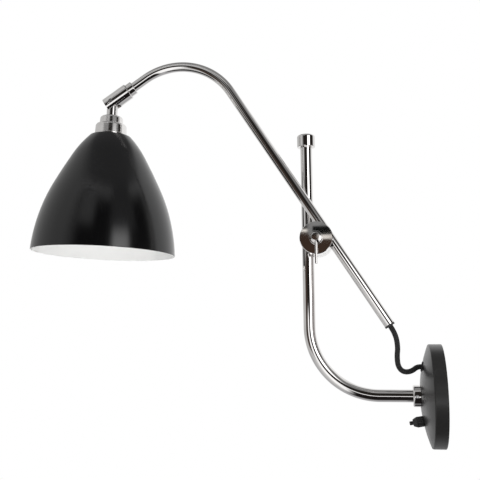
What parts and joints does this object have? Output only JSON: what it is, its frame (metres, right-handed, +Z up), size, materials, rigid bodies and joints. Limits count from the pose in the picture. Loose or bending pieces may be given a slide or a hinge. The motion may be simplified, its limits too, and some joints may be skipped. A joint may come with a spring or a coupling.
{
  "type": "articulating wall lamp",
  "caption": "Wall lamp with a round canopy and switch, a bent post, a lever clamp that holds a bent arm, and a bell shade on a swivel knuckle, wired by a loose cord.",
  "frame": {"origin": "centre of the wall bracket's back face, on the wall, on the axis of the post's level stretch", "axes": "+X into the wall, so the lamp stands out along -X; +Z up; the arm lies on the -Y side of the post"},
  "size_m": [0.4445, 0.16, 0.4268],
  "materials": {
    "canopy_enamel": "satin black enamel",
    "shade_enamel": "gloss black enamel outside, white inside",
    "chrome": "polished chrome plate",
    "zinc_steel": "zinc plated",
    "bare_brass": "turned brass",
    "cord_rubber": "soft black rubber",
    "black_moulding": "moulded black",
    "white_moulding": "moulded white",
    "liner_fibre": "dense dark fibre",
    "cord_fabric": "woven black sleeve",
    "opal_glass": "opal",
    "lamp_cap": "plain"
  },
  "bodies": {
    "wall_plate": {"wall_bracket": "zinc_steel", "wall_canopy": "canopy_enamel", "canopy_screws": "zinc_steel", "tube_collar": "chrome", "collar_screw": "zinc_steel", "lock_washer": "zinc_steel", "tube_locknut": "zinc_steel", "post_tube": "chrome", "post_cap": "chrome", "cord_grommet": "cord_rubber", "cord_grip": "black_moulding", "switch_body": "black_moulding", "switch_bezel": "black_moulding", "terminal_block": "white_moulding", "terminal_screws": "zinc_steel", "earth_screw": "bare_brass", "flex_cord": "cord_fabric"},
    "button": {"switch_button": "black_moulding"},
    "post_sleeve": {"post_liner": "liner_fibre"},
    "clamp_rear": {"clamp_rear_disc": "chrome", "clamp_rear_jaw": "chrome", "friction_washer": "liner_fibre"},
    "clamp_front": {"clamp_front_jaw": "chrome", "clamp_front_disc": "chrome"},
    "clamp_key": {"clamp_screw": "chrome", "lever_pin": "chrome"},
    "arm_sleeve": {"arm_liner": "liner_fibre"},
    "arm": {"arm_tube": "chrome", "arm_bush": "cord_rubber", "nose_ferrule": "bare_brass"},
    "knuckle": {"knuckle_body": "chrome", "swivel_gland": "chrome", "pivot_pin": "chrome"},
    "lampshade": {"shade_stem": "chrome", "gallery_ring": "chrome", "gallery_cup": "chrome", "stem_nut": "zinc_steel", "lamp_holder": "black_moulding", "holder_shell": "bare_brass", "holder_contact": "bare_brass", "shade": "shade_enamel", "shade_ring": "zinc_steel", "bulb_cap": "lamp_cap", "bulb_glass": "opal_glass"}
  },
  "joints": [
    {"name": "clamp_height", "type": "slide", "parent": "wall_plate", "child": "post_sleeve", "axis": [0, 0, 1], "range_m": [-0.06, 0.05], "deforming": ["flex_cord"]},
    {"name": "clamp_swing", "type": "hinge", "parent": "post_sleeve", "child": "clamp_rear", "pos_m": [-0.136, 0, 0.1652], "axis": [0, 0, 1], "range_deg": [-45, 45], "deforming": ["flex_cord"]},
    {"name": "arm_tilt", "type": "hinge", "parent": "clamp_rear", "child": "clamp_front", "pos_m": [-0.1254, 0, 0.1652], "axis": [0, 1, 0], "range_deg": [-40, 30], "deforming": ["flex_cord"]},
    {"name": "clamp_key_turn", "type": "hinge", "parent": "clamp_front", "child": "clamp_key", "pos_m": [-0.1254, 0, 0.1652], "axis": [0, -1, 0], "range_deg": [0, 270]},
    {"name": "arm_roll", "type": "hinge", "parent": "clamp_front", "child": "arm_sleeve", "pos_m": [-0.11485, -0.017, 0.1719], "axis": [-0.5358, 0, 0.8443], "range_deg": [-60, 60], "deforming": ["flex_cord"]},
    {"name": "arm_slide", "type": "slide", "parent": "arm_sleeve", "child": "arm", "axis": [-0.5358, 0, 0.8443], "range_m": [-0.012, 0.03], "deforming": ["flex_cord"]},
    {"name": "knuckle_swivel", "type": "hinge", "parent": "arm", "child": "knuckle", "pos_m": [-0.35719, -0.017, 0.33131], "axis": [-0.8368, 0, -0.5476], "range_deg": [-120, 120]},
    {"name": "shade_tilt", "type": "hinge", "parent": "knuckle", "child": "lampshade", "pos_m": [-0.35719, -0.017, 0.33131], "axis": [0, 1, 0], "range_deg": [-35, 54]},
    {"name": "switch_press", "type": "slide", "parent": "wall_plate", "child": "button", "axis": [0.9845, 0, 0.1753], "range_m": [0, 0.002], "stiffness_N_per_m": 600}
  ]
}
